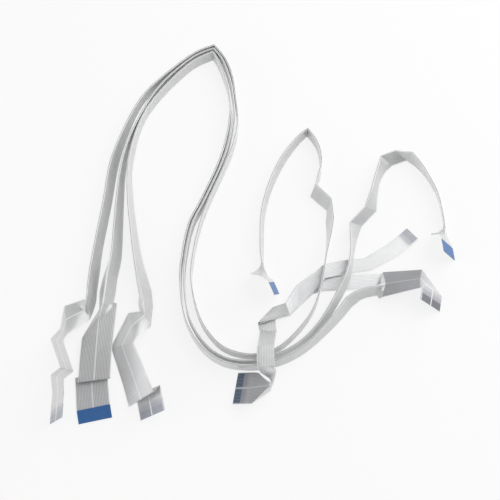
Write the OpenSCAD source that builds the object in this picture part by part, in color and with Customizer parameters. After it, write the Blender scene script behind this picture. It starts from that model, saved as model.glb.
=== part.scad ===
/* [Ribbon] */
// Distance between neighbouring conductors
pitch = 1; // [0.9:0.05:1.1]
// Conductors on each side of the bare centre line
side_count = 10; // [9:1:11]
// Thickness of the laminated film
laminate = 0.3; // [0.2:0.05:0.35]
// Gap between the two halves where the ribbon is doubled
fold_gap = 1; // [0.8:0.1:1.2]

/* [Ends] */
// Length of the stiffener tape on each end
stiffener_length = 9; // [6:0.5:10]
// Thickness of the stiffener tape
stiffener_thickness = 0.2; // [0.1:0.05:0.25]
// Bare length of each contact
contact_length = 5; // [3:0.5:6]
// Width of each contact
contact_width = 0.6; // [0.4:0.05:0.75]
// Height of each contact above the film
contact_height = 0.06; // [0.04:0.01:0.1]

/* [Hidden] */
half = (side_count + 1) * pitch;
grow = half / 11;
flap = half - fold_gap / 2;
tongue = 11;
steps = 3;

// Small vector helpers
function unit(v) = v / max(norm(v), 0.0001);
function middle(ring) = (2 * ring[0] + ring[1] + ring[2]) / 4;
function clamp(v, low, high) = min(max(v, low), high);

// A station is [centre line, left edge, right edge]
function tent(c, l, r) = [
    [c[0], c[1], c[2] * grow],
    [c[0] + (l[0] - c[0]) * grow, c[1] + (l[1] - c[1]) * grow, l[2] * grow],
    [c[0] + (r[0] - c[0]) * grow, c[1] + (r[1] - c[1]) * grow, r[2] * grow]
];
function open(l, r) = tent((l + r) / 2, l, r);
function shut(c, e) = tent(c, e, e);

// Ends: [x, y, lowest edge, heading, pitch, roll, left side, start or finish, width, stiffener face]
end_1a = [-124.5, -123, 0.4, 90, 0, 60, 1, 1, 2 * half, -1];
end_1b = [18, -37, 0.4, -65, 16, 72, 1, -1, 2 * half, 1];
end_2a = [-100.5, -121, 0.6, 102, 0, 0, 1, 1, 2 * half, 1];
end_2b = [136.5, -8.5, 0.4, -85, 0, 60, 1, -1, 2 * half, 1];
end_3a = [-63, -119, 0.5, 102, 0, 40, 1, 1, 2 * half, -1];
end_3b = [121.5, -44, 0.5, -102, 0, 45, 1, -1, 2 * half, -1];
end_4a = [-9.5, -99.5, 0.5, -6, -26, 7, 1, 1, 2 * half, -1];
end_4b = [114, 12, 1, 42, 0, 0, -1, -1, half, -1];
end_4c = [101, -23.5, 0.6, 0, 0, 0, 1, -1, half, -1];

function turned(v, a) = [v[0] * cos(a) - v[1] * sin(a), v[0] * sin(a) + v[1] * cos(a), v[2]];
function end_heading(t) = turned([cos(t[4]), 0, -sin(t[4])], t[3]);
function end_left(t) = turned([-sin(t[4]) * sin(t[5]), cos(t[5]), -cos(t[4]) * sin(t[5])], t[3]);
function end_place(t) = [t[0], t[1], t[2] + t[8] / 2 * abs(end_left(t)[2])];
function end_ring(t, back) = let(
    c = end_place(t) + end_heading(t) * t[7] * back,
    w = end_left(t) * t[6] * t[8] / 2
) [c, c + w, c - w];
function end_start(t) = [end_ring(t, 0), end_ring(t, tongue)];
function end_finish(t) = [end_ring(t, tongue), end_ring(t, 0)];

// Runs stand on their free edges: [x, y, lean to the right, spread, lift]
function blend(a, b, c, d, u) = 0.5 * (2 * b + (c - a) * u + (2 * a - 5 * b + 4 * c - d) * u * u
    + (3 * b - a - 3 * c + d) * u * u * u);
function curve(p) = [
    for (i = [0:len(p) - 2])
        for (k = [0:steps - 1])
            blend(p[max(i - 1, 0)], p[i], p[i + 1], p[min(i + 2, len(p) - 1)], k / steps),
    p[len(p) - 1]
];
function plan(p) = [p[0], p[1]];
function along(p, i) = let(
    a = i > 0 ? unit(plan(p[i]) - plan(p[i - 1])) : unit(plan(p[1]) - plan(p[0])),
    b = i < len(p) - 1 ? unit(plan(p[i + 1]) - plan(p[i])) : a
) unit(a + b) / clamp(unit(a + b) * b, 0.6, 1);
function stand(p, side) = [
    for (i = [0:len(p) - 1])
        let(
            t = along(p, i),
            right = [t[1], -t[0], 0],
            a = p[i][2] * grow + p[i][3] / 2,
            b = p[i][2] * grow - p[i][3] / 2,
            da = sqrt(flap * flap - a * a),
            db = sqrt(flap * flap - b * b),
            c = [p[i][0], p[i][1], max(da, db) + p[i][4] + 0.3],
            ra = c + right * (a + fold_gap / 2) - [0, 0, da],
            rb = c + right * (b - fold_gap / 2) - [0, 0, db]
        ) side > 0 ? [c, rb, ra] : [c, ra, rb]
];

// Doubled stations get their two edges set a gap apart
function level(v, w) = unit(v - w * (v * w));
function travel(r, i) = let(
    w = unit(r[i][1] + r[i][2] - 2 * r[i][0]),
    a = level(middle(r[max(i, 1)]) - middle(r[max(i, 1) - 1]), w),
    b = level(middle(r[min(i, len(r) - 2) + 1]) - middle(r[min(i, len(r) - 2)]), w),
    t = unit(a + b)
) t / clamp(t * b, 0.6, 1);
function parted(r, side) = [
    for (i = [0:len(r) - 1])
        norm(r[i][1] - r[i][2]) > 0.01 ? r[i] :
        let(
            t = travel(r, i),
            n = norm(t) * unit(cross(t, r[i][1] - r[i][0])) * side * fold_gap / 2
        ) [r[i][0], r[i][1] + n, r[i][2] - n]
];

// Across the ribbon: left edge, two sides of the centre fold, right edge
function across(r) = [
    for (s = r)
        let(w = unit(s[1] - s[2]) * min(norm(s[1] - s[2]), fold_gap) / 2)
        [s[1], s[0] + w, s[0] - w, s[2]]
];
function panel_normal(q, i, k) = unit(cross(
    q[i + 1][k] + q[i + 1][k + 1] - q[i][k] - q[i][k + 1],
    q[i][k] - q[i][k + 1] + q[i + 1][k] - q[i + 1][k + 1]
));
function total(v, i = 0) = i == len(v) - 1 ? v[i] : v[i] + total(v, i + 1);
function offset_at(q, i, j) = let(
    n = [
        for (a = [max(i - 1, 0):min(i, len(q) - 2)])
            for (k = [max(j - 1, 0):min(j, len(q[0]) - 2)])
                panel_normal(q, a, k)
    ],
    m = unit(total(n))
) m / clamp(min([for (v = n) v * m]), 0.5, 1) * laminate / 2;
function thick(q) = [
    for (i = [0:len(q) - 1])
        let(d = [for (j = [0:len(q[0]) - 1]) offset_at(q, i, j)])
        each concat(
            [for (j = [0:len(q[0]) - 1]) q[i][j] + d[j]],
            [for (j = [len(q[0]) - 1:-1:0]) q[i][j] - d[j]]
        )
];

// Faces between rows of points, and the square ends
function sleeve(rows) = [
    for (i = [0:len(rows) - 2])
        for (k = [0:len(rows[0]) - 1])
            let(
                n = (k + 1) % len(rows[0]),
                a = rows[i][k],
                b = rows[i][n],
                c = rows[i + 1][k],
                d = rows[i + 1][n]
            )
            each (k == 2 || k == 5 || k == 6) ? [[a, c, b], [c, d, b]] : [[a, d, b], [a, c, d]]
];
function rows_of(first, count, n) = [for (i = [0:count - 1]) [for (k = [0:n - 1]) first + n * i + k]];
function lid(q) = [
    for (k = [0:len(q) / 2 - 2])
        let(a = q[k], b = q[k + 1], c = q[len(q) - 2 - k], d = q[len(q) - 1 - k])
        each [[a, b, c], [a, c, d]]
];
function bung(q) = [for (f = lid(q)) [f[0], f[2], f[1]]];
function rest(v) = [for (i = [1:len(v) - 1]) v[i]];

// Ribbon 1: zigzag end, left arc, loop, leaning panel, small arc, upright end
head_1 = [
    open([-130, -102, 0.4], [-119, -107, 19]),
    open([-132, -90, 0.4], [-120, -98, 19]),
    open([-126, -85, 0.4], [-114, -93, 19]),
    open([-134, -65, 0.4], [-122, -73, 19]),
    open([-128, -58, 0.8], [-122, -70, 16]),
    open([-126, -42, 2], [-121, -65, 10.5]),
    tent([-112, -46, 4.5], [-120, -40, 2], [-108, -52, 2.5]),
    tent([-111, -42.5, 8], [-114.5, -37.5, 0.8], [-106.5, -46, 0.8]),
    tent([-110, -37.5, 10], [-107.8, -35, 0.5], [-105, -38.5, 0.5])
];
run_1a = [
    [-110, -30, 4.5, 0.5, 0], [-109, -16, 4.5, 0.5, 0], [-107, 2, 4, 0, 0], [-103, 34, 4, 0, 0],
    [-100, 63, 4, 0, 0], [-93, 87, 2, 0, 0], [-81, 115, 0, 0, 0], [-67, 133, 0, 0, 0],
    [-43, 155, 0, 0, 0], [-27, 163, 0, 0, 0]
];
run_1b = [
    [-27, 163, 0, 0, 0], [-18.5, 151, 0, 0, 0], [-13, 135, 0, 0, 0], [-10.5, 116, 0, 0, 0],
    [-9, 98, 0, 0, 0], [-12, 79, 0, 0, 0], [-19, 59, 0, 0, 0], [-29, 34, 0, 0, 0],
    [-35, 15, 0, 0, 0], [-39, -6, 0, 0, 0], [-40, -27, 0, 0, 0], [-34, -52, 0, 0, 0],
    [-24, -68, 0, 0, 0], [-13, -76, 0, 0, 0], [3, -79, 0, 0, 0], [17, -75, 0, 0, 0],
    [30, -64, 0, 0, 0], [42, -48, 0, 0, 1], [48.5, -29, 0, 0, 3], [52, -10, 0, 0, 3.5],
    [56, 8, -2, 0, 2], [58, 20, -4, 0, 0.5]
];
fold_1 = [
    shut([57, 35, 10], [55, 30, 0.3]),
    tent([46.5, 46, 10], [43, 41, 0.5], [45.5, 44, 0.3])
];
run_1c = [[48.5, 54, 1, 0, 0], [51, 65, 0, 0, 0], [49, 79, 0, 0, 0], [42, 91, 0, 0, 0]];
run_1d = [
    [42, 91, 0, 0, 0], [34, 84, -1, 0, 0], [22, 67, -2, 0, 0], [13, 46, -2, 0, 0],
    [8, 25, -2, 0, 0], [7, 2, -2, 0, 0], [8, -13, -1, 0, 0]
];
tail_1 = [
    tent([8.6, -15, 10.8], [9.5, -14.7, 0.4], [5, -16, 0.9]),
    tent([9.4, -17.3, 10.9], [10.3, -17, 0.4], [0.8, -20, 4.7]),
    tent([10.4, -19.8, 11], [11.3, -19.4, 0.4], [0.2, -22.8, 13]),
    tent([11.6, -22.7, 11.1], [12.6, -22.3, 0.4], [6, -26.5, 19.8])
];
rings_1 = parted(concat(
    end_start(end_1a), head_1,
    stand(concat(curve(run_1a), rest(curve(run_1b))), 1), fold_1,
    stand(concat(curve(run_1c), rest(curve(run_1d))), 1), tail_1, end_finish(end_1b)
), 1);

// Ribbon 2: flat folded end, left arc, loop, two leaning panels, right arc, tilted end
head_2 = [
    open([-115.5, -93, 0.6], [-95, -86, 0.6]),
    open([-115.5, -93, 2.4], [-95, -86, 2.4]),
    open([-113, -96, 2.4], [-92, -93, 2.4]),
    open([-113, -96, 4.2], [-92, -93, 4.2]),
    open([-113, -80, 4.2], [-92, -77, 4.2]),
    tent([-102, -54, 4.5], [-112.5, -66, 3.8], [-90, -41, 3.5]),
    tent([-99, -43, 9], [-102.5, -44, 0.5], [-93, -39, 0.5])
];
run_2a = [
    [-98, -32, 0.5, 10, 0], [-97, -20, 1, 9, 0], [-95, -4, 2, 7, 0], [-94, 34, 3.5, 0.5, 0],
    [-92, 61, 2, 0, 0], [-87, 84, 1, 0, 0], [-76, 111, 0, 0, 0], [-63, 132, 0, 0, 0],
    [-43, 152, 0, 0, 0], [-27.5, 160, 0, 0, 0]
];
run_2b = [
    [-27.5, 160, 0, 0, 0], [-21, 151, 0, 0, 0], [-16, 137, 0, 0, 0], [-13, 122, 0, 0, 0],
    [-12, 105, 0, 0, 0], [-15, 82, 0, 0, 0], [-21, 61, 0, 0, 0], [-32, 34, 0, 0, 0],
    [-40, 16, 0, 0, 0], [-44, -6, 0, 0, 0], [-45, -27, 0, 0, 0], [-41, -52, 0, 0, 0],
    [-30, -71, 0, 0, 0], [-16, -81, 0, 0, 0], [2, -83, 0, 0, 0], [17, -79, 0, 0, 0],
    [33, -70, 0.5, 0, 0], [47, -55, 2.5, 0, 0.5], [60, -33, 3.5, 0, 2.5], [66, -20, 3, 0, 3],
    [69, -5, 2.5, 0, 2.5], [69.5, 8, 5, 0, 1]
];
fold_2a = [shut([70, 18, 7], [78.5, 18, 0.4]), shut([81, 30, 7], [89.5, 30, 0.4])];
run_2c = [[85.5, 42, 5, 0, 0], [89, 54, 4, 0, 0], [92, 63, 5.5, 0, 0]];
fold_2b = [shut([94, 70.5, 6.5], [102.5, 66, 0.4]), shut([104.5, 75, 6.5], [113, 70.5, 0.4])];
run_2d = [
    [116, 71.5, 2, 0, 0], [121, 64.5, 0, 0, 0], [126, 55, -1.5, 0, 0], [132, 40, -2, 0, 0],
    [134.5, 24, -2, 0, 0], [135, 14, -2, 0, 0]
];
tail_2 = [
    tent([135.1, 12.2, 10.7], [137.3, 12.2, 0.4], [131, 11.7, 0.9]),
    tent([135.2, 10, 10.7], [138, 10, 0.4], [126.4, 9.3, 4.6]),
    tent([135.3, 7.7, 10.6], [139, 7.7, 0.4], [124.7, 6.8, 13]),
    tent([135.4, 5.2, 10.4], [140, 5.2, 0.4], [130, 4.2, 19.5])
];
rings_2 = parted(concat(
    end_start(end_2a), head_2,
    stand(concat(curve(run_2a), rest(curve(run_2b))), 1), fold_2a,
    stand(curve(run_2c), 1), fold_2b,
    stand(curve(run_2d), 1), tail_2, end_finish(end_2b)
), 1);

// Ribbon 3: folded tilted end, left arc, loop, panel opened like a tent, raised end
head_3 = [
    open([-74.5, -105, 0.5], [-58, -101.5, 14.6]),
    open([-74.5, -105, 2.5], [-58, -101.5, 16.6]),
    open([-79, -112, 2], [-62, -105.5, 15]),
    open([-79, -112, 4], [-62, -105.5, 17]),
    open([-83, -99, 3.5], [-66.5, -95.5, 17]),
    open([-88, -85, 2], [-71.5, -84, 16.5]),
    open([-93, -71, 0.8], [-76.5, -73, 16]),
    open([-82, -48, 4.5], [-75.5, -69.5, 13]),
    tent([-70.5, -51, 9], [-74, -47.5, 6], [-66.5, -58, 5]),
    tent([-72, -42, 10.5], [-76, -41, 0.5], [-66, -42, 0.5])
];
run_3a = [
    [-74, -33, 2.5, 8, 0], [-77, -22, 2.5, 7, 0], [-80, -7, 2, 5, 0], [-83, 13, 2, 3, 0],
    [-86, 36, 2.5, 0.5, 0], [-87, 60, 1.5, 0, 0], [-84.5, 80, 1, 0, 0], [-79.5, 98, 0, 0, 0],
    [-72.5, 113, 0, 0, 0], [-59.5, 131, 0, 0, 0], [-43, 148.5, 0, 0, 0], [-28, 157, 0, 0, 0]
];
run_3b = [
    [-28, 157, 0, 0, 0], [-24, 150, 0, 0, 0], [-19, 136, 0, 0, 0], [-15.5, 122, 0, 0, 0],
    [-14.5, 105, 0, 0, 0], [-17.5, 82, 0, 0, 0], [-23.5, 61, 0, 0, 0], [-34.5, 34, 0, 0, 0],
    [-42.5, 16, 0, 0, 0], [-46.5, -6, 0, 0, 0], [-47.5, -27, 0, 0, 0], [-43.5, -53, 0, 0, 0],
    [-32, -73.5, 0, 0, 0], [-17, -84, 0, 0, 0], [2, -86.5, 0, 0, 0], [19, -82.5, 1, 0, 0],
    [36, -73, 1.5, 0, 0], [53, -55, 3.5, 0, 0], [65, -39, 5, 0, 0]
];
tail_3 = [
    shut([70.5, -35, 9.7], [75, -37, 0.3]),
    shut([80, -31.5, 10.3], [79.5, -35, 0.3]),
    shut([86, -31, 10.3], [86.5, -33.5, 0.3]),
    tent([89.5, -29, 8.3], [89, -23, 3], [88, -37.5, 3.5]),
    tent([92.5, -27, 5], [91.5, -17.5, 2], [89.5, -38, 8.5]),
    tent([116.5, -24, 6.5], [119, -15, 0.5], [115, -32.5, 12])
];
rings_3 = parted(concat(
    end_start(end_3a), head_3,
    stand(concat(curve(run_3a), rest(curve(run_3b))), 1), tail_3, end_finish(end_3b)
), 1);

// Ribbon 4: rolled corner, bridge over the loop, flat fold, then two halves that part
head_4 = [
    tent([12.5, -100, 11], [5.5, -90.5, 7], [1, -111.5, 8.5]),
    tent([14.5, -99, 12], [13, -96.5, 1.5], [13, -101.5, 1.5]),
    shut([15.5, -95.5, 12.5], [15, -96, 1.8]),
    shut([16.5, -92, 13.2], [13, -93, 4]),
    shut([16.3, -90, 13.8], [7, -90.2, 8]),
    shut([15.5, -87.5, 14], [4.5, -88, 13.4]),
    shut([15.5, -74, 13.4], [4.5, -75, 13.4]),
    shut([17.5, -60, 1.6], [6.5, -60, 1.6]),
    shut([16, -44, 1], [6, -55, 1]),
    shut([16, -44, 4], [6, -55, 4]),
    shut([24, -41.5, 5.5], [27, -49.5, 3]),
    shut([32, -28, 2.4], [33, -43, 1.2]),
    shut([43.5, -19, 2.2], [43, -33, 1.2])
];
rings_4 = parted(concat(end_start(end_4a), head_4), 1);

// Halves are pairs of [inner edge, outer edge]
function half_pair(a, b) = [a, a + (b - a) * grow];
function half_end(t, back) = let(
    c = end_place(t) - end_heading(t) * back,
    w = end_left(t) * half / 2
) [c + w, c - w];
upper_half = [
    half_pair([51, -11.5, 1.8], [52, -22, 2.4]),
    half_pair([66, -8, 1], [67.5, -18.5, 1]),
    half_pair([79.5, -6.5, 1], [84, -15.5, 1]),
    half_pair([95.5, 3.5, 1], [102.5, -5, 1]),
    half_end(end_4b, tongue),
    half_end(end_4b, 0)
];
lower_half = [
    half_pair([50, -20.5, 0.7], [49.5, -31, 0.7]),
    half_pair([62, -19.5, 0.7], [62, -30.3, 0.7]),
    half_pair([78, -18.5, 0.7], [78, -29.3, 0.7]),
    half_end(end_4c, tongue),
    half_end(end_4c, 0)
];
function swapped(h) = [for (p = h) [p[1], p[0]]];

skin_1 = thick(across(rings_1));
skin_2 = thick(across(rings_2));
skin_3 = thick(across(rings_3));
skin_4 = concat(thick(across(rings_4)), thick(swapped(lower_half)), thick(upper_half));
stem = 8 * len(rings_4);
fork = stem - 8;
lower_rows = concat([[for (k = [0, 1, 6, 7]) fork + k]], rows_of(stem, len(lower_half), 4));
upper_rows = concat(
    [[for (k = [2, 3, 4, 5]) fork + k]],
    rows_of(stem + 4 * len(lower_half), len(upper_half), 4)
);
function strap_faces(n) = concat(
    lid(rows_of(0, 1, 8)[0]), sleeve(rows_of(0, n, 8)), bung(rows_of(8 * n - 8, 1, 8)[0])
);
faces_4 = concat(
    lid(rows_of(0, 1, 8)[0]), sleeve(rows_of(0, len(rings_4), 8)),
    bung([for (k = [1, 2, 5, 6]) fork + k]),
    sleeve(lower_rows), bung(lower_rows[len(lower_half)]),
    sleeve(upper_rows), bung(upper_rows[len(upper_half)])
);

// The whole cable is moved so that its box stands on the origin
all_points = concat(skin_1, skin_2, skin_3, skin_4);
low = [for (k = [0:2]) min([for (p = all_points) p[k]])];
high = [for (k = [0:2]) max([for (p = all_points) p[k]])];
home = [-(low[0] + high[0]) / 2, -(low[1] + high[1]) / 2, -low[2]];

// Moves a piece drawn flat at the origin onto one end
module at_end(t) {
    translate(home + end_place(t))
        rotate([-t[5], t[4], t[3]])
            children();
}
module tape(t) {
    at_end(t)
        translate([t[7] > 0 ? 0 : -stiffener_length, -t[8] / 2,
            t[9] > 0 ? laminate / 2 : -laminate / 2 - stiffener_thickness])
            cube([stiffener_length, t[8], stiffener_thickness]);
}
function lanes(t) = t[8] > 1.5 * half
    ? [for (s = [-1, 1]) for (k = [1:side_count]) s * k * pitch]
    : [for (k = [1:side_count]) (k - (side_count + 1) / 2) * pitch];
module contact_row(t) {
    at_end(t)
        for (y = lanes(t))
            translate([t[7] > 0 ? 0 : -contact_length, y - contact_width / 2,
                t[9] > 0 ? -laminate / 2 - contact_height : laminate / 2])
                cube([contact_length, contact_width, contact_height]);
}
module strap(skin, faces) {
    translate(home)
        polyhedron(points = skin, faces = faces, convexity = 10);
}

module ribbon_1() { color("gainsboro") strap(skin_1, strap_faces(len(rings_1))); }
module ribbon_2() { color("gainsboro") strap(skin_2, strap_faces(len(rings_2))); }
module ribbon_3() { color("gainsboro") strap(skin_3, strap_faces(len(rings_3))); }
module ribbon_4() { color("gainsboro") strap(skin_4, faces_4); }
module stiffener_1a() { color("steelblue") tape(end_1a); }
module stiffener_1b() { color("steelblue") tape(end_1b); }
module stiffener_2a() { color("steelblue") tape(end_2a); }
module stiffener_2b() { color("steelblue") tape(end_2b); }
module stiffener_3a() { color("steelblue") tape(end_3a); }
module stiffener_3b() { color("steelblue") tape(end_3b); }
module stiffener_4a() { color("steelblue") tape(end_4a); }
module stiffener_4b() { color("steelblue") tape(end_4b); }
module stiffener_4c() { color("steelblue") tape(end_4c); }
module contacts_1a() { color("silver") contact_row(end_1a); }
module contacts_1b() { color("silver") contact_row(end_1b); }
module contacts_2a() { color("silver") contact_row(end_2a); }
module contacts_2b() { color("silver") contact_row(end_2b); }
module contacts_3a() { color("silver") contact_row(end_3a); }
module contacts_3b() { color("silver") contact_row(end_3b); }
module contacts_4a() { color("silver") contact_row(end_4a); }
module contacts_4b() { color("silver") contact_row(end_4b); }
module contacts_4c() { color("silver") contact_row(end_4c); }

ribbon_1();
ribbon_2();
ribbon_3();
ribbon_4();
stiffener_1a();
stiffener_1b();
stiffener_2a();
stiffener_2b();
stiffener_3a();
stiffener_3b();
stiffener_4a();
stiffener_4b();
stiffener_4c();
contacts_1a();
contacts_1b();
contacts_2a();
contacts_2b();
contacts_3a();
contacts_3b();
contacts_4a();
contacts_4b();
contacts_4c();
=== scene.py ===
import math

import bmesh
import bpy
from mathutils import Euler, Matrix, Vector


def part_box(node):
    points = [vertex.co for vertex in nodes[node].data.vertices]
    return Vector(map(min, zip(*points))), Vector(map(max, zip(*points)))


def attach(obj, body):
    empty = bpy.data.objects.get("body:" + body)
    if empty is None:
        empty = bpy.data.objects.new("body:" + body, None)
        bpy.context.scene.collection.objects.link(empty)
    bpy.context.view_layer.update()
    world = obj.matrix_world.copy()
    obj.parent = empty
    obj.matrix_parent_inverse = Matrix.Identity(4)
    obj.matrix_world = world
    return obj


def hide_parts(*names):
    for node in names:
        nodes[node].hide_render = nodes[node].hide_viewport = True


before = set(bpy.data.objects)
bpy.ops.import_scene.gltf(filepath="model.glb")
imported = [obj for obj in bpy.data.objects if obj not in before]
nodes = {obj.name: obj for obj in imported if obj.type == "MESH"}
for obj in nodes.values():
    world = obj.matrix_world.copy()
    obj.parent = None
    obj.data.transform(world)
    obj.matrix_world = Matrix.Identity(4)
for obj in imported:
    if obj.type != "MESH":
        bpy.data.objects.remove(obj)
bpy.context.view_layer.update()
mm = 0.001
print("frame loaded")

ribbon = {  # shared sizes of the film, in millimetres
    "half": 11.0,
    "laminate": 0.3,
    "foldGap": 1.0,
    "tongue": 11.0,  # straight part of an end
    "clear": 0.3,  # room under the edges of a standing run
    "mitre": 0.6,  # least cosine that widens a corner
    "shut": 0.01,  # edges nearer than this lie on each other
    "steps": 8,  # curve steps between two route points
    "spacing": 3.0,  # longest facet along a flat panel
    "columns": 4,  # facets across each half
    "ridge": 0.35,  # rise of the rounded fold
    "hardAngle": 28,  # degrees, a sharper fold gets a hard edge
    "weld": 0.001,  # points nearer than this are joined
}
flap = ribbon["half"] - ribbon["foldGap"] / 2


def unit(v):
    return v / max(v.length, 1e-4)  # a step of no length stays that


# A ring is one station of the film: the middle, the left edge and the right edge
def tent(crest, left, right):
    return [Vector(crest), Vector(left), Vector(right)]


def opened(left, right):
    return tent((Vector(left) + Vector(right)) / 2, left, right)


def shut(crest, edge):
    return tent(crest, edge, edge)


def endRing(end, back):
    turns = (-end["roll"], end["pitch"], end["heading"])
    turn = Euler([math.radians(angle) for angle in turns]).to_matrix()
    left = turn @ Vector((0, end["width"] / 2, 0))
    place = Vector((*end["place"], end["low"] + abs(left.z)))
    centre = place + turn @ Vector((end["way"] * back, 0, 0))
    return [centre, centre + left, centre - left]


def endStart(end):
    return [endRing(end, 0), endRing(end, ribbon["tongue"])]


def endFinish(end):
    return [endRing(end, ribbon["tongue"]), endRing(end, 0)]


def curve(points):
    fine = []
    last = len(points) - 1
    for i in range(last):
        a, b, c, d = (Vector(points[j]) for j in (max(i - 1, 0), i, i + 1, min(i + 2, last)))
        for k in range(ribbon["steps"]):
            u = k / ribbon["steps"]
            slope = (c - a) * u
            bend = (2 * a - 5 * b + 4 * c - d) * u * u
            change = (3 * b - a - 3 * c + d) * u ** 3
            fine.append(0.5 * (2 * b + slope + bend + change))
    return fine + [Vector(points[last])]


def stepsAt(line, i):  # the steps into and out of a point
    into, out = max(i, 1), min(i, len(line) - 2)
    return line[into] - line[into - 1], line[out + 1] - line[out]


def corner(a, b):  # the way on through a corner, and how far the corner narrows the film
    way = unit(a + b)
    return way, min(max(way.dot(b), ribbon["mitre"]), 1)


def standing(points):  # each point has x, y, lean to the right, spread of the two halves, and lift
    rings = []
    for i, (x, y, lean, spread, lift) in enumerate(points):
        before, after = stepsAt(points, i)
        way, narrow = corner(unit(Vector(before[:2])), unit(Vector(after[:2])))
        way = way / narrow
        right = Vector((way.y, -way.x, 0))
        outer, inner = lean + spread / 2, lean - spread / 2
        outerDrop = math.sqrt(flap ** 2 - outer ** 2)
        innerDrop = math.sqrt(flap ** 2 - inner ** 2)
        crest = Vector((x, y, max(outerDrop, innerDrop) + lift + ribbon["clear"]))
        rightEdge = crest + right * (outer + ribbon["foldGap"] / 2) - Vector((0, 0, outerDrop))
        leftEdge = crest + right * (inner - ribbon["foldGap"] / 2) - Vector((0, 0, innerDrop))
        rings.append([crest, leftEdge, rightEdge])
    return rings


def run(*stretches):  # one standing run through stretches that share their end points
    points = curve(stretches[0])
    for stretch in stretches[1:]:
        points += curve(stretch)[1:]
    return standing(points)


def level(v, w):
    return unit(v - w * v.dot(w))


def parted(rings):  # keeps the two halves of a shut ring a fold gap apart
    spread = []
    middles = [(2 * crest + left + right) / 4 for crest, left, right in rings]
    for i, (crest, left, right) in enumerate(rings):
        if (left - right).length > ribbon["shut"]:
            spread.append([crest, left, right])
            continue
        down = unit(left + right - 2 * crest)
        before, after = stepsAt(middles, i)
        way, narrow = corner(level(before, down), level(after, down))
        aside = unit(way.cross(left - crest)) * ribbon["foldGap"] / 2 / narrow
        spread.append([crest, left + aside, right - aside])
    return spread


def evened(rings, creased):
    fine, sharp = [rings[0]], [creased[0]]
    for a, b, creaseShade in zip(rings, rings[1:], creased[1:]):
        span = max((q - p).length for p, q in zip(a, b))
        count = max(1, math.ceil(span / ribbon["spacing"]))
        for k in range(1, count + 1):
            fine.append([p.lerp(q, k / count) for p, q in zip(a, b)])
            sharp.append(creaseShade and k == count)
    return fine, sharp


# Ends of the ribbons: where each tip lies, its lowest edge, its turns in degrees, which way the film goes on
endFacts = ("place", "low", "heading", "pitch", "roll", "way", "width")
endRows = {
    "1a": ((-124.5, -123), 0.4, 90, 0, 60, 1, 22),
    "1b": ((18, -37), 0.4, -65, 16, 72, -1, 22),
    "2a": ((-100.5, -121), 0.6, 102, 0, 0, 1, 22),
    "2b": ((136.5, -8.5), 0.4, -85, 0, 60, -1, 22),
    "3a": ((-63, -119), 0.5, 102, 0, 40, 1, 22),
    "3b": ((121.5, -44), 0.5, -102, 0, 45, -1, 22),
    "4a": ((-9.5, -99.5), 0.5, -6, -26, 7, 1, 22),
    "4b": ((114, 12), 1, 42, 0, 0, -1, 11),
    "4c": ((101, -23.5), 0.6, 0, 0, 0, -1, 11),
}
ends = {name: dict(zip(endFacts, row)) for name, row in endRows.items()}

levelEnd = ends["4c"]  # lies flat and square, so its tape shows where the routes start
tapeLow, tapeHigh = (Vector(point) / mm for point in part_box("stiffener_4c"))
planOrigin = Vector((
    tapeHigh.x - levelEnd["place"][0],
    (tapeLow.y + tapeHigh.y) / 2 - levelEnd["place"][1],
    tapeHigh.z + ribbon["laminate"] / 2 - levelEnd["low"],
))

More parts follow.
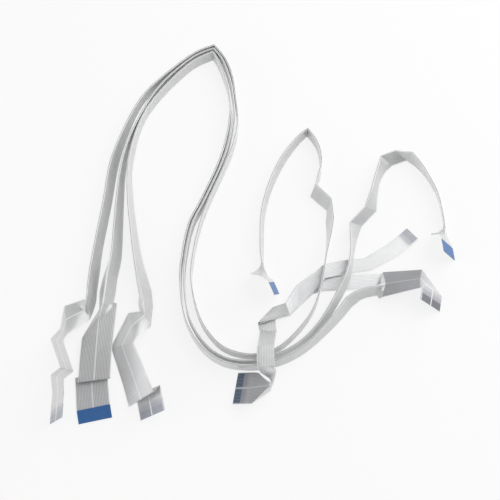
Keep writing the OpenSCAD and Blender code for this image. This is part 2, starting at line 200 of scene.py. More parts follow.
route1 = {  # zigzag end, left arc, loop, leaning panel, small arc, upright end
    "head": [
        opened((-130, -102, 0.4), (-119, -107, 19)),
        opened((-132, -90, 0.4), (-120, -98, 19)),
        opened((-126, -85, 0.4), (-114, -93, 19)),
        opened((-134, -65, 0.4), (-122, -73, 19)),
        opened((-128, -58, 0.8), (-122, -70, 16)),
        opened((-126, -42, 2), (-121, -65, 10.5)),
        tent((-112, -46, 4.5), (-120, -40, 2), (-108, -52, 2.5)),
        tent((-111, -42.5, 8), (-114.5, -37.5, 0.8), (-106.5, -46, 0.8)),
        tent((-110, -37.5, 10), (-107.8, -35, 0.5), (-105, -38.5, 0.5)),
    ],
    "arc": [
        (-110, -30, 4.5, 0.5, 0), (-109, -16, 4.5, 0.5, 0), (-107, 2, 4, 0, 0), (-103, 34, 4, 0, 0),
        (-100, 63, 4, 0, 0), (-93, 87, 2, 0, 0), (-81, 115, 0, 0, 0), (-67, 133, 0, 0, 0),
        (-43, 155, 0, 0, 0), (-27, 163, 0, 0, 0),
    ],
    "loop": [
        (-27, 163, 0, 0, 0), (-18.5, 151, 0, 0, 0), (-13, 135, 0, 0, 0), (-10.5, 116, 0, 0, 0),
        (-9, 98, 0, 0, 0), (-12, 79, 0, 0, 0), (-19, 59, 0, 0, 0), (-29, 34, 0, 0, 0),
        (-35, 15, 0, 0, 0), (-39, -6, 0, 0, 0), (-40, -27, 0, 0, 0), (-34, -52, 0, 0, 0),
        (-24, -68, 0, 0, 0), (-13, -76, 0, 0, 0), (3, -79, 0, 0, 0), (17, -75, 0, 0, 0),
        (30, -64, 0, 0, 0), (42, -48, 0, 0, 1), (48.5, -29, 0, 0, 3), (52, -10, 0, 0, 3.5),
        (56, 8, -2, 0, 2), (58, 20, -4, 0, 0.5),
    ],
    "fold": [
        shut((57, 35, 10), (55, 30, 0.3)),
        tent((46.5, 46, 10), (43, 41, 0.5), (45.5, 44, 0.3)),
    ],
    "crown": [(48.5, 54, 1, 0, 0), (51, 65, 0, 0, 0), (49, 79, 0, 0, 0), (42, 91, 0, 0, 0)],
    "fall": [
        (42, 91, 0, 0, 0), (34, 84, -1, 0, 0), (22, 67, -2, 0, 0), (13, 46, -2, 0, 0),
        (8, 25, -2, 0, 0), (7, 2, -2, 0, 0), (8, -13, -1, 0, 0),
    ],
    "tail": [
        tent((8.6, -15, 10.8), (9.5, -14.7, 0.4), (5, -16, 0.9)),
        tent((9.4, -17.3, 10.9), (10.3, -17, 0.4), (0.8, -20, 4.7)),
        tent((10.4, -19.8, 11), (11.3, -19.4, 0.4), (0.2, -22.8, 13)),
        tent((11.6, -22.7, 11.1), (12.6, -22.3, 0.4), (6, -26.5, 19.8)),
    ],
}
parts1 = [
    {"rings": endStart(ends["1a"]) + route1["head"], "creased": True},
    {"rings": run(route1["arc"], route1["loop"]), "creased": False},
    {"rings": route1["fold"], "creased": True},
    {"rings": run(route1["crown"], route1["fall"]) + route1["tail"], "creased": False},
    {"rings": endFinish(ends["1b"]), "creased": True},
]

route2 = {  # flat folded end, left arc, loop, two leaning panels, right arc, tilted end
    "head": [
        opened((-115.5, -93, 0.6), (-95, -86, 0.6)),
        opened((-115.5, -93, 2.4), (-95, -86, 2.4)),
        opened((-113, -96, 2.4), (-92, -93, 2.4)),
        opened((-113, -96, 4.2), (-92, -93, 4.2)),
        opened((-113, -80, 4.2), (-92, -77, 4.2)),
        tent((-102, -54, 4.5), (-112.5, -66, 3.8), (-90, -41, 3.5)),
        tent((-99, -43, 9), (-102.5, -44, 0.5), (-93, -39, 0.5)),
    ],
    "arc": [
        (-98, -32, 0.5, 10, 0), (-97, -20, 1, 9, 0), (-95, -4, 2, 7, 0), (-94, 34, 3.5, 0.5, 0),
        (-92, 61, 2, 0, 0), (-87, 84, 1, 0, 0), (-76, 111, 0, 0, 0), (-63, 132, 0, 0, 0),
        (-43, 152, 0, 0, 0), (-27.5, 160, 0, 0, 0),
    ],
    "loop": [
        (-27.5, 160, 0, 0, 0), (-21, 151, 0, 0, 0), (-16, 137, 0, 0, 0), (-13, 122, 0, 0, 0),
        (-12, 105, 0, 0, 0), (-15, 82, 0, 0, 0), (-21, 61, 0, 0, 0), (-32, 34, 0, 0, 0),
        (-40, 16, 0, 0, 0), (-44, -6, 0, 0, 0), (-45, -27, 0, 0, 0), (-41, -52, 0, 0, 0),
        (-30, -71, 0, 0, 0), (-16, -81, 0, 0, 0), (2, -83, 0, 0, 0), (17, -79, 0, 0, 0),
        (33, -70, 0.5, 0, 0), (47, -55, 2.5, 0, 0.5), (60, -33, 3.5, 0, 2.5), (66, -20, 3, 0, 3),
        (69, -5, 2.5, 0, 2.5), (69.5, 8, 5, 0, 1),
    ],
    "foldLow": [shut((70, 18, 7), (78.5, 18, 0.4)), shut((81, 30, 7), (89.5, 30, 0.4))],
    "between": [(85.5, 42, 5, 0, 0), (89, 54, 4, 0, 0), (92, 63, 5.5, 0, 0)],
    "foldHigh": [shut((94, 70.5, 6.5), (102.5, 66, 0.4)), shut((104.5, 75, 6.5), (113, 70.5, 0.4))],
    "fall": [
        (116, 71.5, 2, 0, 0), (121, 64.5, 0, 0, 0), (126, 55, -1.5, 0, 0), (132, 40, -2, 0, 0),
        (134.5, 24, -2, 0, 0), (135, 14, -2, 0, 0),
    ],
    "tail": [
        tent((135.1, 12.2, 10.7), (137.3, 12.2, 0.4), (131, 11.7, 0.9)),
        tent((135.2, 10, 10.7), (138, 10, 0.4), (126.4, 9.3, 4.6)),
        tent((135.3, 7.7, 10.6), (139, 7.7, 0.4), (124.7, 6.8, 13)),
        tent((135.4, 5.2, 10.4), (140, 5.2, 0.4), (130, 4.2, 19.5)),
    ],
}
parts2 = [
    {"rings": endStart(ends["2a"]) + route2["head"], "creased": True},
    {"rings": run(route2["arc"], route2["loop"]), "creased": False},
    {"rings": route2["foldLow"], "creased": True},
    {"rings": run(route2["between"]), "creased": False},
    {"rings": route2["foldHigh"], "creased": True},
    {"rings": run(route2["fall"]) + route2["tail"], "creased": False},
    {"rings": endFinish(ends["2b"]), "creased": True},
]

route3 = {  # folded tilted end, left arc, loop, panel opened like a tent, raised end
    "head": [
        opened((-74.5, -105, 0.5), (-58, -101.5, 14.6)),
        opened((-74.5, -105, 2.5), (-58, -101.5, 16.6)),
        opened((-79, -112, 2), (-62, -105.5, 15)),
        opened((-79, -112, 4), (-62, -105.5, 17)),
        opened((-83, -99, 3.5), (-66.5, -95.5, 17)),
        opened((-88, -85, 2), (-71.5, -84, 16.5)),
        opened((-93, -71, 0.8), (-76.5, -73, 16)),
        opened((-82, -48, 4.5), (-75.5, -69.5, 13)),
        tent((-70.5, -51, 9), (-74, -47.5, 6), (-66.5, -58, 5)),
        tent((-72, -42, 10.5), (-76, -41, 0.5), (-66, -42, 0.5)),
    ],
    "arc": [
        (-74, -33, 2.5, 8, 0), (-77, -22, 2.5, 7, 0), (-80, -7, 2, 5, 0), (-83, 13, 2, 3, 0),
        (-86, 36, 2.5, 0.5, 0), (-87, 60, 1.5, 0, 0), (-84.5, 80, 1, 0, 0), (-79.5, 98, 0, 0, 0),
        (-72.5, 113, 0, 0, 0), (-59.5, 131, 0, 0, 0), (-43, 148.5, 0, 0, 0), (-28, 157, 0, 0, 0),
    ],
    "loop": [
        (-28, 157, 0, 0, 0), (-24, 150, 0, 0, 0), (-19, 136, 0, 0, 0), (-15.5, 122, 0, 0, 0),
        (-14.5, 105, 0, 0, 0), (-17.5, 82, 0, 0, 0), (-23.5, 61, 0, 0, 0), (-34.5, 34, 0, 0, 0),
        (-42.5, 16, 0, 0, 0), (-46.5, -6, 0, 0, 0), (-47.5, -27, 0, 0, 0), (-43.5, -53, 0, 0, 0),
        (-32, -73.5, 0, 0, 0), (-17, -84, 0, 0, 0), (2, -86.5, 0, 0, 0), (19, -82.5, 1, 0, 0),
        (36, -73, 1.5, 0, 0), (53, -55, 3.5, 0, 0), (65, -39, 5, 0, 0),
    ],
    "tail": [
        shut((70.5, -35, 9.7), (75, -37, 0.3)),
        shut((80, -31.5, 10.3), (79.5, -35, 0.3)),
        shut((86, -31, 10.3), (86.5, -33.5, 0.3)),
        tent((89.5, -29, 8.3), (89, -23, 3), (88, -37.5, 3.5)),
        tent((92.5, -27, 5), (91.5, -17.5, 2), (89.5, -38, 8.5)),
        tent((116.5, -24, 6.5), (119, -15, 0.5), (115, -32.5, 12)),
    ],
}
parts3 = [
    {"rings": endStart(ends["3a"]) + route3["head"], "creased": True},
    {"rings": run(route3["arc"], route3["loop"]), "creased": False},
    {"rings": route3["tail"] + endFinish(ends["3b"]), "creased": True},
]

route4 = {  # rolled corner, bridge over the loop, flat fold, then two halves that part
    "head": [
        tent((12.5, -100, 11), (5.5, -90.5, 7), (1, -111.5, 8.5)),
        tent((14.5, -99, 12), (13, -96.5, 1.5), (13, -101.5, 1.5)),
        shut((15.5, -95.5, 12.5), (15, -96, 1.8)),
        shut((16.5, -92, 13.2), (13, -93, 4)),
        shut((16.3, -90, 13.8), (7, -90.2, 8)),
        shut((15.5, -87.5, 14), (4.5, -88, 13.4)),
        shut((15.5, -74, 13.4), (4.5, -75, 13.4)),
        shut((17.5, -60, 1.6), (6.5, -60, 1.6)),
        shut((16, -44, 1), (6, -55, 1)),
        shut((16, -44, 4), (6, -55, 4)),
        shut((24, -41.5, 5.5), (27, -49.5, 3)),
        shut((32, -28, 2.4), (33, -43, 1.2)),
        shut((43.5, -19, 2.2), (43, -33, 1.2)),
    ],
    "upper": [  # inner edge and outer edge
        ((51, -11.5, 1.8), (52, -22, 2.4)),
        ((66, -8, 1), (67.5, -18.5, 1)),
        ((79.5, -6.5, 1), (84, -15.5, 1)),
        ((95.5, 3.5, 1), (102.5, -5, 1)),
    ],
    "lower": [
        ((50, -20.5, 0.7), (49.5, -31, 0.7)),
        ((62, -19.5, 0.7), (62, -30.3, 0.7)),
        ((78, -18.5, 0.7), (78, -29.3, 0.7)),
    ],
}
parts4 = [{"rings": endStart(ends["4a"]) + route4["head"], "creased": True}]


def column(ring):  # points across the film, with the rounded fold in the middle
    crest, left, right = ring
    aside = unit(left - right) * min((left - right).length, ribbon["foldGap"]) / 2
    rise = (2 * crest - left - right) / (2 * ribbon["half"]) * ribbon["ridge"]
    n = ribbon["columns"]
    leftHalf = [left.lerp(crest + aside, k / n) for k in range(n + 1)]
    rightHalf = [(crest - aside).lerp(right, k / n) for k in range(n + 1)]
    return leftHalf + [crest + rise] + rightHalf


def columnPlaces():
    n, gap = ribbon["columns"], ribbon["foldGap"] / 2
    leftHalf = [-ribbon["half"] + flap * k / n for k in range(n + 1)]
    return leftHalf + [0] + [gap + flap * k / n for k in range(n + 1)]


def closeness(ring):  # 0 where the film is flat, 1 where it is folded shut
    crest, left, right = ring
    return min(max((2 * crest - left - right).length / (2 * ribbon["half"]), 0), 1)


def film(name, sheets):
    build = bmesh.new()
    laid = build.loops.layers.uv.new("laid")  # across and along, in half widths
    marks = build.loops.layers.uv.new("marks")  # distance from an end, and how far folded
    for sheet in sheets:
        grid = [[build.verts.new((p + planOrigin) * mm) for p in row] for row in sheet["rows"]]
        for i in range(len(grid) - 1):
            for k in range(len(grid[0]) - 1):
                corners = ((i, k), (i + 1, k), (i + 1, k + 1), (i, k + 1))
                face = build.faces.new([grid[a][b] for a, b in corners])
                face.smooth = True
                for loop, (a, b) in zip(face.loops, corners):
                    loop[laid].uv = (sheet["places"][b] / ribbon["half"], sheet["along"][a] / ribbon["half"])
                    loop[marks].uv = (sheet["fromEnd"][a] / ribbon["half"], sheet["fold"][a])
        for row, sharp in zip(grid, sheet["sharp"]):
            for a, b in zip(row, row[1:]):
                build.edges.get((a, b)).smooth = not sharp
    bmesh.ops.remove_doubles(build, verts=build.verts, dist=ribbon["weld"] * mm)
    for edge in build.edges:
        if edge.calc_face_angle(0) > math.radians(ribbon["hardAngle"]):
            edge.smooth = False
    mesh = bpy.data.meshes.new(name)
    build.to_mesh(mesh)
    build.free()
    piece = bpy.data.objects.new(name, mesh)
    bpy.context.scene.collection.objects.link(piece)
    body = piece.modifiers.new("body", "SOLIDIFY")
    body.thickness = ribbon["laminate"] * mm
    body.offset = 0
    shading = piece.modifiers.new("shading", "WEIGHTED_NORMAL")  # broad faces stay even up to their edges
    shading.weight = 100
    shading.keep_sharp = True
    return piece


def lengths(line):
    total = [0]
    for a, b in zip(line, line[1:]):
        total.append(total[-1] + (b - a).length)
    return total


def inFrame(line):
    return [(p + planOrigin) * mm for p in line]


def strapSheet(parts):
    rings = parted([ring for part in parts for ring in part["rings"]])
    rings, sharp = evened(rings, [part["creased"] for part in parts for ring in part["rings"]])
    line = [ring[0] for ring in rings]
    along = lengths(line)
    sheet = {
        "rows": [column(ring) for ring in rings], "places": columnPlaces(), "along": along,
        "fromEnd": [min(a, along[-1] - a) for a in along], "fold": [closeness(ring) for ring in rings],
        "sharp": sharp,
    }
    return sheet, line


def strap(name, parts):
    sheet, line = strapSheet(parts)
    return film(name, [sheet]), inFrame(line)


def tailPairs(inner, outer, points, end):  # the two edges of a half, from the fork to its tip
    pairs = [[inner, outer]] + [[Vector(a), Vector(b)] for a, b in points]
    return pairs + [endRing(end, back)[1:] for back in (ribbon["tongue"], 0)]


def halfRows(pairs):
    n = ribbon["columns"]
    fine = [pairs[0]]
    for a, b in zip(pairs, pairs[1:]):
        span = max((q - p).length for p, q in zip(a, b))
        count = max(1, math.ceil(span / ribbon["spacing"]))
        fine += [[p.lerp(q, k / count) for p, q in zip(a, b)] for k in range(1, count + 1)]
    return [[a.lerp(b, k / n) for k in range(n + 1)] for a, b in fine]


def halfSheet(pairs, side, start):
    rows = halfRows(pairs)
    line = [(row[0] + row[-1]) / 2 for row in rows]
    along = lengths(line)
    n, gap = ribbon["columns"], ribbon["foldGap"] / 2
    sheet = {
        "rows": rows, "places": [side * (gap + flap * k / n) for k in range(n + 1)],
        "along": [start + a for a in along], "fromEnd": [along[-1] - a for a in along],
        "fold": [0] * len(rows), "sharp": [False] * len(rows),
    }
    return sheet, line


ribbon1, line1 = strap("ribbon1", parts1)
ribbon2, line2 = strap("ribbon2", parts2)
ribbon3, line3 = strap("ribbon3", parts3)

trunk, trunkLine = strapSheet(parts4)
trunk["fromEnd"] = trunk["along"]  # only its start is an end
forkRow, forkAlong = trunk["rows"][-1], trunk["along"][-1]
fold = ribbon["columns"] + 1  # the fold's place in a row of points
upperPairs = tailPairs(forkRow[fold + 1], forkRow[-1], route4["upper"], ends["4b"])
lowerPairs = tailPairs(forkRow[fold - 1], forkRow[0], route4["lower"], ends["4c"])
upper, upperLine = halfSheet(upperPairs, 1, forkAlong)
lower = halfSheet(lowerPairs, -1, forkAlong)[0]
ribbon4, line4 = film("ribbon4", [trunk, upper]), inFrame(trunkLine + upperLine[1:])
ribbon4Tail = film("ribbon4Tail", [lower])
print("ribbons built")


def group(name, inputs, outputs):
    tree = bpy.data.node_groups.new(name, "ShaderNodeTree")
    for way, sockets in (("INPUT", inputs), ("OUTPUT", outputs)):
        for label, kind in sockets.items():
            tree.interface.new_socket(name=label, in_out=way, socket_type=kind)
    return tree, tree.nodes.new("NodeGroupInput"), tree.nodes.new("NodeGroupOutput")


def node(tree, kind, inputs=(), **settings):  # an input is given a value, or linked to an output
    made = tree.nodes.new(kind)
    for key, value in settings.items():
        setattr(made, key, value)
    for label, value in dict(inputs).items():
        if isinstance(value, bpy.types.NodeSocket):
            tree.links.new(value, made.inputs[label])
        else:
            made.inputs[label].default_value = value
    return made


def mathNode(tree, operation, *values):
    return node(tree, "ShaderNodeMath", dict(enumerate(values)), operation=operation).outputs[0]


def times(tree, a, b):
    return mathNode(tree, "MULTIPLY", a, b)


def outside(tree, mask):  # all that a mask leaves out
    return mathNode(tree, "SUBTRACT", 1.0, mask)


def band(tree, value, low, high, start=0.0, stop=1.0):  # smooth step from start at low to stop at high
    inputs = {0: value, "From Min": low, "From Max": high, "To Min": start, "To Max": stop}
    return node(tree, "ShaderNodeMapRange", inputs, interpolation_type="SMOOTHSTEP").outputs[0]


def mixColour(tree, factor, a, b):
    return node(tree, "ShaderNodeMix", {0: factor, 6: a, 7: b}, data_type="RGBA").outputs[2]


def material(name):
    made = bpy.data.materials.new(name)
    made.use_nodes = True
    return made, made.node_tree, made.node_tree.nodes["Principled BSDF"]


def mottled():  # uneven tone, and a finish between two roughnesses
    tree, given, out = group(
        "mottle", {"Scale": "NodeSocketFloat", "Smooth": "NodeSocketFloat", "Rough": "NodeSocketFloat"},
        {"Tone": "NodeSocketFloat", "Finish": "NodeSocketFloat"},
    )
    place = tree.nodes.new("ShaderNodeTexCoord").outputs["Object"]
    cloudInputs = {"Vector": place, "Scale": given.outputs["Scale"], "Detail": 2.0}
    cloud = node(tree, "ShaderNodeTexNoise", cloudInputs).outputs[0]
    finishInputs = {0: cloud, "To Min": given.outputs["Smooth"], "To Max": given.outputs["Rough"]}
    finish = node(tree, "ShaderNodeMapRange", finishInputs, clamp=True).outputs[0]
    tree.links.new(cloud, out.inputs["Tone"])
    tree.links.new(finish, out.inputs["Finish"])
    return tree


mottleGroup = mottled()


def mottle(tree, shader, look):  # puts the shared group in a material, and gives its tone
    inputs = {"Scale": look["mottleScale"], "Smooth": look["smooth"], "Rough": look["rough"]}
    placed = node(tree, "ShaderNodeGroup", inputs, node_tree=mottleGroup)
    tree.links.new(placed.outputs["Finish"], shader.inputs["Roughness"])
    return placed.outputs["Tone"]


def bump(tree, shader, height, look):
    inputs = {"Strength": look["bump"], "Distance": look["bumpDepth"], "Height": height}
    tree.links.new(node(tree, "ShaderNodeBump", inputs).outputs[0], shader.inputs["Normal"])


filmLook = {  # widths and places are in millimetres
    "film": (0.88, 0.885, 0.885, 1),  # bare laminate
    "gap": (0.84, 0.845, 0.85, 1),  # laminate between two conductors
    "conductor": (0.57, 0.575, 0.58, 1),  # tinned copper seen through the film
    "creaseShade": (0.38, 0.385, 0.39, 1),  # painted shade along a folded edge
    "backed": (0.40, 0.40, 0.455, 1),  # film over the blue tape
    "bared": (0.30, 0.305, 0.345, 1),  # tape seen between the contacts
    "baredShade": (0.018, 0.035, 0.08, 1),  # the same, painted darker as shade in the shaded stretch at the start of the short ribbon
    "conductorWidth": 0.62, "conductorBlur": 0.12, "conductorMetal": 0.45,
    "bareMiddle": (0.5, 0.6), "bareEdge": (10.4, 10.5),  # where the conductors start and stop, from the fold
    "creaseWidth": 0.2, "creaseBlur": (0.15, 0.1),
    "creaseFold": (0.82, 0.93),  # how far folded the film is where the painted crease shade shows
    "backedFade": (6.5, 10.5), "backedShare": 0.75, "baredFade": (4.9, 5.1),  # fades, from the end
    # blur at the ends of the stretch painted darker as shade
    "shadeBlur": 0.3,
    "cloudScale": 2.3, "cloudDetail": 3.0, "toneLow": 0.92, "toneSpan": 0.16,  # slow change of tone
    "wave": 3.0,  # slow unevenness of the film, against the height of a conductor
    "bump": 0.25, "bumpDepth": 0.00005,
    "mottleScale": 300.0, "smooth": 0.26, "rough": 0.42,
    "coat": 0.7, "coatRoughness": 0.3,
}


def filmPattern():
    tree, given, out = group(
        "filmPattern",
        {
            "Shaded From": "NodeSocketFloat", "Shaded To": "NodeSocketFloat", "Shade Tint": "NodeSocketColor",
            "Stripe": "NodeSocketFloat",
        },
        {"Colour": "NodeSocketColor", "Relief": "NodeSocketFloat", "Metal": "NodeSocketFloat"},
    )
    laid = node(tree, "ShaderNodeUVMap", uv_map="laid").outputs[0]
    marks = node(tree, "ShaderNodeUVMap", uv_map="marks").outputs[0]
    laidParts = node(tree, "ShaderNodeSeparateXYZ", {0: laid}).outputs
    marksParts = node(tree, "ShaderNodeSeparateXYZ", {0: marks}).outputs
    off = mathNode(tree, "ABSOLUTE", times(tree, laidParts[0], ribbon["half"]))
    along = times(tree, laidParts[1], ribbon["half"])
    fromEnd = times(tree, marksParts[0], ribbon["half"])

    # Conductors, one to a millimetre on each side of the bare middle
    nearest = mathNode(tree, "ABSOLUTE", mathNode(tree, "SUBTRACT", off, mathNode(tree, "ROUND", off)))
    edge, blur = filmLook["conductorWidth"] / 2, filmLook["conductorBlur"]
    lane = outside(tree, band(tree, nearest, edge - blur, edge + blur))
    pastMiddle = band(tree, off, *filmLook["bareMiddle"])
    inside = times(tree, pastMiddle, outside(tree, band(tree, off, *filmLook["bareEdge"])))
    conductor = times(tree, lane, inside)
    plain = mixColour(tree, inside, filmLook["film"], filmLook["gap"])
    striped = times(tree, conductor, given.outputs["Stripe"])
    plain = mixColour(tree, striped, plain, filmLook["conductor"])

    # The painted shade line along the fold, the tape behind an end, and what shows between its contacts
    width, (blurIn, blurOut) = filmLook["creaseWidth"], filmLook["creaseBlur"]
    thin = outside(tree, band(tree, off, width - blurIn, width + blurOut))
    creaseShadeMask = times(tree, band(tree, marksParts[1], *filmLook["creaseFold"]), thin)
    plain = mixColour(tree, creaseShadeMask, plain, filmLook["creaseShade"])
    backed = outside(tree, band(tree, fromEnd, *filmLook["backedFade"]))
    backed = times(tree, backed, filmLook["backedShare"])
    plain = mixColour(tree, times(tree, backed, inside), plain, filmLook["backed"])
    bared = times(tree, outside(tree, band(tree, fromEnd, *filmLook["baredFade"])), inside)
    # A stretch given per material is painted darker as shade, the tape between its contacts too
    blur = filmLook["shadeBlur"]
    afterStart = band(tree, mathNode(tree, "SUBTRACT", along, given.outputs["Shaded From"]), -blur, blur)
    beforeStop = band(tree, mathNode(tree, "SUBTRACT", given.outputs["Shaded To"], along), -blur, blur)
    paintedShade = times(tree, afterStart, beforeStop)
    plain = mixColour(tree, bared, plain, mixColour(tree, paintedShade, filmLook["bared"], filmLook["baredShade"]))

    # Slow change of tone, and the tint of the stretch painted darker as shade
    cloudInputs = {"Vector": laid, "Scale": filmLook["cloudScale"], "Detail": filmLook["cloudDetail"]}
    cloud = node(tree, "ShaderNodeTexNoise", cloudInputs).outputs[0]
    tone = mathNode(tree, "MULTIPLY_ADD", cloud, filmLook["toneSpan"], filmLook["toneLow"])
    toned = node(tree, "ShaderNodeVectorMath", {0: plain, "Scale": tone}, operation="SCALE").outputs[0]
    tint = mixColour(tree, paintedShade, (1, 1, 1, 1), given.outputs["Shade Tint"])
    tinted = node(tree, "ShaderNodeVectorMath", {0: toned, 1: tint}, operation="MULTIPLY").outputs[0]
    relief = mathNode(tree, "ADD", conductor, times(tree, cloud, filmLook["wave"]))
    metal = times(tree, conductor, outside(tree, mathNode(tree, "MAXIMUM", backed, bared)))
    metal = times(tree, metal, filmLook["conductorMetal"])
    for label, value in (("Colour", tinted), ("Relief", relief), ("Metal", metal)):
        tree.links.new(value, out.inputs[label])
    return tree


stripes = filmPattern()


def filmMaterial(name, finish):
    made, tree, shader = material(name)
    pattern = node(tree, "ShaderNodeGroup", finish, node_tree=stripes)
    tree.links.new(pattern.outputs["Colour"], shader.inputs["Base Color"])
    tree.links.new(pattern.outputs["Metal"], shader.inputs["Metallic"])
    bump(tree, shader, pattern.outputs["Relief"], filmLook)
    mottle(tree, shader, filmLook)
    shader.inputs["Coat Weight"].default_value = filmLook["coat"]
    shader.inputs["Coat Roughness"].default_value = filmLook["coatRoughness"]
    return made


# Where the film is painted darker as shade, in millimetres along the ribbon, and how strong the stripes are
filmFinish = {
    "stripedFilm": {"Shaded From": -10, "Shaded To": -10, "Shade Tint": (1, 1, 1, 1), "Stripe": 1.0},
    "stripedShadedFilm": {"Shaded From": 718, "Shaded To": 742, "Shade Tint": (0.52, 0.52, 0.54, 1), "Stripe": 1.0},
    "stripedShortFilm": {"Shaded From": 0, "Shaded To": 24, "Shade Tint": (0.6, 0.6, 0.62, 1), "Stripe": 0.65},
}
filmOf = {
    "ribbon1": "stripedFilm", "ribbon2": "stripedFilm", "ribbon3": "stripedShadedFilm",
    "ribbon4": "stripedShortFilm", "ribbon4Tail": "stripedShortFilm",
}
filmMade = {name: filmMaterial(name, finish) for name, finish in filmFinish.items()}


def tonedMaterial(name, look, colours):  # mottled between two colours
    made, tree, shader = material(name)
    tone = mottle(tree, shader, look)
    tree.links.new(mixColour(tree, tone, *colours), shader.inputs["Base Color"])
    bump(tree, shader, tone, look)
    shader.inputs["Metallic"].default_value = look["metal"]
    return made


tapeLook = {
    "blues": ((0.035, 0.135, 0.38, 1), (0.055, 0.18, 0.45, 1)),
    "mottleScale": 260.0, "smooth": 0.34, "rough": 0.5, "metal": 0.0, "bump": 0.12, "bumpDepth": 0.00004,
}
tapeMaterial = tonedMaterial("blueTape", tapeLook, tapeLook["blues"])

contactLook = {
    "mottleScale": 420.0, "smooth": 0.36, "rough": 0.54, "metal": 0.6, "bump": 0.12, "bumpDepth": 0.00002,
}
contactTones = {  # tin, and its dull patches
    "tinnedContact": ((0.48, 0.49, 0.53, 1), (0.38, 0.385, 0.43, 1)),
    # lighter copy of tin, painted light
    "tinnedLitContact": ((0.66, 0.665, 0.7, 1), (0.58, 0.585, 0.62, 1)),
    "tinnedShadedContact": ((0.26, 0.262, 0.288, 1), (0.19, 0.191, 0.212, 1)),
    # darker, bluer copy of tin, painted shade
    "tinnedShadedShortContact": ((0.225, 0.29, 0.37, 1), (0.145, 0.205, 0.285, 1)),
}
contactOf = {  # the other rows are plain tinnedContact
    "contacts_1a": "tinnedLitContact", "contacts_3b": "tinnedShadedContact",
    "contacts_4a": "tinnedShadedShortContact",
}
contactMade = {name: tonedMaterial(name, contactLook, tones) for name, tones in contactTones.items()}
print("materials made")

for piece in (ribbon1, ribbon2, ribbon3, ribbon4, ribbon4Tail):
    piece.data.materials.append(filmMade[filmOf[piece.name]])
    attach(piece, "root")
for name, cadNode in nodes.items():
    if name.startswith("ribbon"):
        continue
    isTape = name.startswith("stiffener")
    rowMaterial = contactMade[contactOf.get(name, "tinnedContact")]
    cadNode.data.materials.clear()
    cadNode.data.materials.append(tapeMaterial if isTape else rowMaterial)
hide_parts("ribbon_1")
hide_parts("ribbon_2")
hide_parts("ribbon_3")
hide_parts("ribbon_4")
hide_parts("ribbon_4")


floorLook = {
    "size": 6.0, "drop": 0.0001, "colour": (0.93, 0.93, 0.93, 1), "rough": 0.9, "shine": 0.1,
    "white": 0.83,  # share of plain white that the camera sees
}
bpy.ops.mesh.primitive_plane_add(size=floorLook["size"], location=(0, 0, -floorLook["drop"]))
floor = bpy.context.object
floor.name = "floor"
floorMaterial, floorTree, floorShader = material("paleFloor")
floorShader.inputs["Base Color"].default_value = floorLook["colour"]
floorShader.inputs["Roughness"].default_value = floorLook["rough"]
floorShader.inputs["Specular IOR Level"].default_value = floorLook["shine"]
floorGlow = node(floorTree, "ShaderNodeEmission", {0: (1, 1, 1, 1), 1: 1.0})
floorRays = floorTree.nodes.new("ShaderNodeLightPath").outputs
seen = mathNode(floorTree, "MAXIMUM", floorRays["Is Camera Ray"], floorRays["Is Glossy Ray"])
seen = mathNode(floorTree, "MAXIMUM", seen, floorRays["Is Transmission Ray"])
seen = times(floorTree, seen, floorLook["white"])
floorInputs = {0: seen, 1: floorShader.outputs[0], 2: floorGlow.outputs[0]}
floorMix = node(floorTree, "ShaderNodeMixShader", floorInputs)
floorTree.links.new(floorMix.outputs[0], floorTree.nodes["Material Output"].inputs["Surface"])
floor.data.materials.append(floorMaterial)

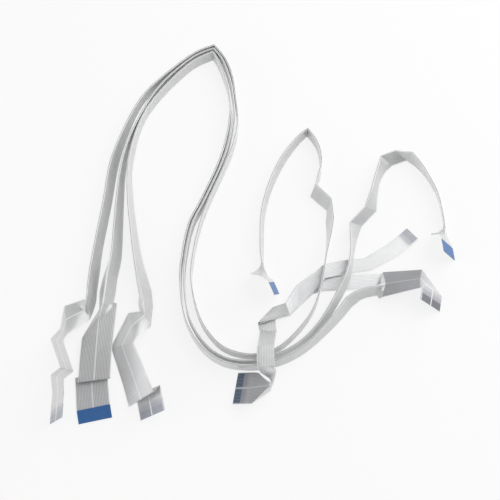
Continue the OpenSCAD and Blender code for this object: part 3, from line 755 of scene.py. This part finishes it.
worldLook = {
    "horizon": 1.7, "zenith": 0.34, "bandLow": 0.15, "bandHigh": 0.65,
    "back": 0.5,  # how far the sky dims at the back
    "front": 0.8, "frontWay": (0.6, -0.8, 0.0),  # and at the front right
}
world = bpy.data.worlds.new("studio")
bpy.context.scene.world = world
world.use_nodes = True
worldTree = world.node_tree
sky = worldTree.nodes.new("ShaderNodeTexCoord").outputs["Generated"]
skyParts = node(worldTree, "ShaderNodeSeparateXYZ", {0: sky}).outputs
skyBand = (worldLook[key] for key in ("bandLow", "bandHigh", "horizon", "zenith"))
skyHeight = band(worldTree, skyParts[2], *skyBand)
skyBack = times(worldTree, mathNode(worldTree, "MAXIMUM", skyParts[1], 0.0), worldLook["back"])
skyAim = {0: sky, 1: worldLook["frontWay"]}
skyFront = node(worldTree, "ShaderNodeVectorMath", skyAim, operation="DOT_PRODUCT")
skyFront = mathNode(worldTree, "MAXIMUM", skyFront.outputs["Value"], 0.0)
skyFront = times(worldTree, skyFront, worldLook["front"])
skyStrength = times(worldTree, skyHeight, outside(worldTree, mathNode(worldTree, "ADD", skyBack, skyFront)))
cameraRay = worldTree.nodes.new("ShaderNodeLightPath").outputs["Is Camera Ray"]
skyStrength = mathNode(worldTree, "MAXIMUM", skyStrength, cameraRay)
worldTree.nodes["Background"].inputs[0].default_value = (1, 1, 1, 1)
worldTree.links.new(skyStrength, worldTree.nodes["Background"].inputs[1])

lamps = {
    "keyLight": {"place": (0.5, 0.3, 0.6), "aim": (0.05, 0, 0), "size": 1.1, "power": 5.8},
    "leftLight": {"place": (-1.2, -0.1, 0.45), "aim": (0, 0, 0), "size": 1.0, "power": 1.6},
    "frontLight": {"place": (-0.5, -1.2, 0.45), "aim": (0, 0, 0), "size": 1.0, "power": 1.5},
}
for name, look in lamps.items():
    light = bpy.data.lights.new(name, "AREA")
    light.shape = "DISK"
    light.size = look["size"]
    light.energy = look["power"]
    lamp = bpy.data.objects.new(name, light)
    lamp.location = look["place"]
    lamp.rotation_euler = (Vector(look["aim"]) - Vector(look["place"])).to_track_quat("-Z", "Y").to_euler()
    bpy.context.scene.collection.objects.link(lamp)

view = {
    "elevation": 67, "distance": 0.7, "focalPixels": 1003, "imagePixels": 500,
    "sensor": 36, "clipStart": 0.01,
}
tilt = math.radians(view["elevation"])
camera = bpy.data.objects.new("camera", bpy.data.cameras.new("camera"))
camera.location = planOrigin * mm + Vector((0, -math.cos(tilt), math.sin(tilt))) * view["distance"]
camera.rotation_euler = (math.pi / 2 - tilt, 0, 0)
camera.data.sensor_width = view["sensor"]
camera.data.lens = view["sensor"] * view["focalPixels"] / view["imagePixels"]
camera.data.clip_start = view["clipStart"]
bpy.context.scene.collection.objects.link(camera)
bpy.context.scene.camera = camera
bpy.context.scene.view_settings.view_transform = "Standard"
print("stage set")
